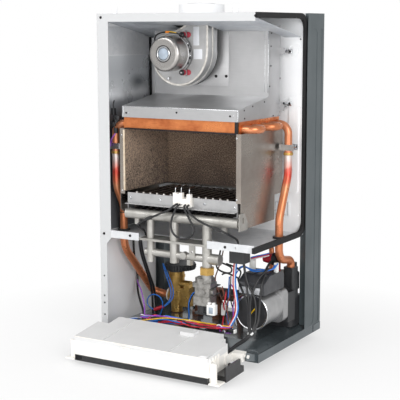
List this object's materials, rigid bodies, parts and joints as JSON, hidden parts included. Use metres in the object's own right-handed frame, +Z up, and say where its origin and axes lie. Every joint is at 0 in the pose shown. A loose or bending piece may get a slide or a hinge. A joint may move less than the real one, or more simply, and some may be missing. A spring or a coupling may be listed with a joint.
{
  "type": "combi boiler",
  "caption": "Wall-hung gas combi boiler without its front cover: fan, hood, copper heat exchanger, burner, gas valve, pump, wiring and a control box hinged down on a tray.",
  "frame": {"origin": "on the wall plane behind the boiler, at the middle of its width and level with the underside of the base tray", "axes": "+X to the boiler's right as seen from its front, +Y into the wall, +Z up; the open front faces -Y"},
  "size_m": [0.412, 0.4678, 0.7715],
  "materials": {
    "galvanised_panel": "zinc-coated sheet, slightly glossy",
    "frame_steel": "satin grey zinc sheet",
    "white_panel": "light zinc sheet",
    "dark_tray": "dark glossy coated sheet",
    "aluminised": "satin aluminised sheet",
    "cast_aluminium": "matte casting",
    "steel_bright": "bright",
    "steel_dark": "heat-darkened burner steel",
    "copper": "copper, used and satin",
    "brass": "machined brass",
    "rubber_black": "matt",
    "rubber_red": "silicone",
    "foam_black": "foam strip",
    "plastic_black": "moulded",
    "plastic_white": "moulded",
    "plastic_cream": "moulded",
    "plastic_dark": "moulded",
    "plastic_red": "moulded",
    "board_green": "circuit board",
    "ceramic": "unglazed",
    "fibre_board": "ceramic fibre board",
    "vessel_red": "painted",
    "wire_black": "sleeved cable",
    "silicone_lead": "silicone ignition lead"
  },
  "bodies": {
    "casing": {"air_vent": "plastic_black", "base_tray": "dark_tray", "box_harness": "wire_black", "burner_bars": "steel_dark", "burner_frame": "steel_bright", "casing_left": "white_panel", "chamber_floor": "galvanised_panel", "chamber_shell": "galvanised_panel", "combustion_casing": "aluminised", "connection_pipes": "brass", "diverter_actuator": "plastic_black", "diverter_body": "brass", "electrode_block": "ceramic", "electrode_pins": "steel_bright", "expansion_vessel": "vessel_red", "fan_grommets": "rubber_red", "fan_motor": "steel_bright", "fan_mount_ring": "galvanised_panel", "fan_scroll": "aluminised", "flow_pipe": "copper", "flue_collar": "plastic_dark", "fume_hood": "aluminised", "gas_manifold": "cast_aluminium", "gas_nozzles": "brass", "gas_rail": "cast_aluminium", "gas_union_nut": "steel_bright", "gas_valve_body": "cast_aluminium", "gas_valve_coil": "plastic_black", "heat_exchanger": "copper", "hydraulic_block": "plastic_dark", "ignition_leads": "silicone_lead", "ignition_transformer": "plastic_black", "insulation_boards": "fibre_board", "pipe_clips": "steel_bright", "pipe_grommets": "rubber_black", "plate_exchanger": "plastic_dark", "pump_face": "plastic_black", "pump_motor": "cast_aluminium", "pump_terminal_box": "plastic_black", "rear_frame_left": "frame_steel", "rear_frame_right": "frame_steel", "return_bends": "copper", "return_pipe": "copper", "safety_valve": "plastic_red", "side_gasket": "foam_black", "wall_bars": "frame_steel", "wiring_harness": "wire_black"},
    "fan_wheel": {"fan_impeller": "aluminised"},
    "pump_wheel": {"pump_rotor": "plastic_dark"},
    "vent_screw": {"vent_cap": "plastic_dark"},
    "relief_handle": {"safety_knob": "plastic_black"},
    "diverter_stem": {"diverter_spindle": "steel_bright"},
    "modulator": {"modulator_plunger": "brass"},
    "control_box": {"control_housing": "plastic_cream", "control_cover": "plastic_white", "control_fascia": "plastic_dark", "control_pcb": "board_green"},
    "heating_dial": {"knob_heating": "plastic_dark"},
    "water_dial": {"knob_water": "plastic_dark"},
    "reset": {"reset_button": "plastic_red"}
  },
  "joints": [
    {"name": "control_box_hinge", "type": "hinge", "parent": "casing", "child": "control_box", "pos_m": [0, -0.356, 0.025], "axis": [-1, 0, 0], "range_deg": [0, 92.6], "deforming": ["box_harness"]},
    {"name": "fan_spin", "type": "hinge", "parent": "casing", "child": "fan_wheel", "pos_m": [-0.055, -0.203, 0.652], "axis": [0, 1, 0], "continuous": true},
    {"name": "pump_spin", "type": "hinge", "parent": "casing", "child": "pump_wheel", "pos_m": [0.157, -0.15, 0.092], "axis": [0, 1, 0], "continuous": true},
    {"name": "vent_cap_turn", "type": "hinge", "parent": "casing", "child": "vent_screw", "pos_m": [0.174, -0.078, 0.16], "axis": [0, 0, 1], "range_deg": [0, 360]},
    {"name": "relief_handle_turn", "type": "hinge", "parent": "casing", "child": "relief_handle", "pos_m": [0.162, -0.15, 0.192], "axis": [1, 0, 0], "range_deg": [0, 90]},
    {"name": "diverter_slide", "type": "slide", "parent": "casing", "child": "diverter_stem", "axis": [0, 0, 1], "range_m": [0, 0.006]},
    {"name": "modulator_slide", "type": "slide", "parent": "casing", "child": "modulator", "axis": [0, 0, 1], "range_m": [0, 0.003], "stiffness_N_per_m": 200},
    {"name": "heating_dial_turn", "type": "hinge", "parent": "control_box", "child": "heating_dial", "pos_m": [-0.095, -0.41485, -0.0017], "axis": [0, -0.0454, 0.999], "range_deg": [0, 270]},
    {"name": "water_dial_turn", "type": "hinge", "parent": "control_box", "child": "water_dial", "pos_m": [-0.04, -0.41485, -0.0017], "axis": [0, -0.0454, 0.999], "range_deg": [0, 270]},
    {"name": "reset_press", "type": "slide", "parent": "control_box", "child": "reset", "axis": [0, -0.0454, 0.999], "range_m": [0, 0.002], "stiffness_N_per_m": 400}
  ]
}
